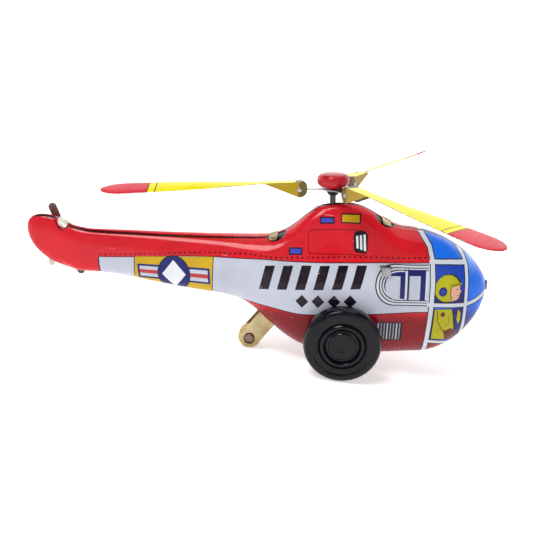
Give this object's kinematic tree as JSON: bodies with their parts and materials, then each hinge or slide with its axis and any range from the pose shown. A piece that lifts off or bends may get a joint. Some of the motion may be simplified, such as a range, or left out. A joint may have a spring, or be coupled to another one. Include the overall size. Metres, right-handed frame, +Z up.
{
  "type": "toy helicopter",
  "caption": "Pressed tin friction helicopter: rounded cabin and tail boom in two half-shells, big wheels, rear roller, hinged main rotor blades driven by a flywheel motor.",
  "frame": {"origin": "on the floor under the middle of the whole toy, on its mid-plane", "axes": "+X towards the nose, +Y to port, +Z up; the toy stands on both wheels and the rear roller, which tips its nose up about seven degrees"},
  "size_m": [0.2538, 0.2173, 0.11],
  "materials": {
    "printed_tin": "lithographed tin, red with a printed silver band, gloss varnish",
    "frame_steel": "bare pressed steel strip",
    "dark_steel": "darkened steel",
    "plated_tin": "dull yellow plated sheet",
    "arbor_steel": "turned steel",
    "wheel_plastic": "black moulded plastic, satin",
    "gear_brass": "stamped brass",
    "roller_rubber": "rubber",
    "flywheel_iron": "turned iron",
    "collar_plastic": "black moulded plastic",
    "cap_plastic": "red moulded plastic, gloss",
    "blade_tin": "lithographed tin, yellow with red tips",
    "tail_rotor_tin": "dark red-brown lacquered tin"
  },
  "bodies": {
    "fuselage": {"fuselage_half_right": "printed_tin", "fuselage_half_left": "printed_tin", "motor_frame_right": "frame_steel", "motor_frame_left": "frame_steel", "frame_pillar_front": "frame_steel", "frame_pillar_rear": "frame_steel", "frame_pillar_lower": "frame_steel", "mast_guide": "frame_steel", "mast_bush": "dark_steel", "rear_bracket": "plated_tin", "rear_roller_pin": "arbor_steel", "tail_rotor_washer": "arbor_steel", "tail_rotor_rivet": "arbor_steel"},
    "wheels": {"drive_axle": "arbor_steel", "wheel_right": "wheel_plastic", "wheel_left": "wheel_plastic", "drive_gear": "gear_brass"},
    "idler": {"idler_arbor": "arbor_steel", "idler_pinion": "arbor_steel", "idler_gear": "gear_brass", "rotor_drive_roller": "roller_rubber"},
    "flywheel": {"flywheel_arbor": "arbor_steel", "flywheel_pinion": "arbor_steel", "flywheel": "flywheel_iron"},
    "rotor": {"mast": "dark_steel", "mast_disc": "frame_steel", "rotor_collar": "collar_plastic", "rotor_hub": "frame_steel", "rotor_cap": "cap_plastic", "blade_pin_a": "arbor_steel", "blade_pin_b": "arbor_steel", "blade_pin_c": "arbor_steel"},
    "blade_a": {"rotor_blade_a": "blade_tin"},
    "blade_b": {"rotor_blade_b": "blade_tin"},
    "blade_c": {"rotor_blade_c": "blade_tin"},
    "rear_roller": {"rear_roller": "plated_tin"},
    "tail_rotor": {"tail_rotor": "tail_rotor_tin"}
  },
  "joints": [
    {"name": "rotor_spin", "type": "hinge", "parent": "fuselage", "child": "rotor", "pos_m": [0.03621, 0, 0.0955], "axis": [-0.123, 0, 0.9924], "continuous": true},
    {"name": "axle_spin", "type": "hinge", "parent": "fuselage", "child": "wheels", "pos_m": [0.05156, 0, 0.02042], "axis": [0, 1, 0], "continuous": true},
    {"name": "idler_spin", "type": "hinge", "parent": "fuselage", "child": "idler", "pos_m": [0.0443, 0, 0.03023], "axis": [0, 1, 0], "continuous": true},
    {"name": "flywheel_spin", "type": "hinge", "parent": "fuselage", "child": "flywheel", "pos_m": [0.03219, 0, 0.02873], "axis": [0, 1, 0], "continuous": true},
    {"name": "blade_a_flap", "type": "hinge", "parent": "rotor", "child": "blade_a", "pos_m": [0.01874, 0, 0.09334], "axis": [0, 1, 0], "range_deg": [0, 40]},
    {"name": "blade_b_flap", "type": "hinge", "parent": "rotor", "child": "blade_b", "pos_m": [0.04494, 0.01524, 0.09659], "axis": [0.8594, -0.5, 0.1065], "range_deg": [0, 40]},
    {"name": "blade_c_flap", "type": "hinge", "parent": "rotor", "child": "blade_c", "pos_m": [0.04494, -0.01524, 0.09659], "axis": [-0.8594, -0.5, -0.1065], "range_deg": [0, 40]},
    {"name": "rear_roller_spin", "type": "hinge", "parent": "fuselage", "child": "rear_roller", "pos_m": [0.00223, 0, 0.00625], "axis": [0, 1, 0], "continuous": true},
    {"name": "tail_rotor_spin", "type": "hinge", "parent": "fuselage", "child": "tail_rotor", "pos_m": [-0.10728, 0, 0.04588], "axis": [0, 1, 0], "continuous": true}
  ],
  "couplings": [
    {"joint": "axle_spin", "follows": "rotor_spin", "ratio": 0.33333},
    {"joint": "idler_spin", "follows": "rotor_spin", "ratio": -1},
    {"joint": "flywheel_spin", "follows": "rotor_spin", "ratio": 3}
  ]
}
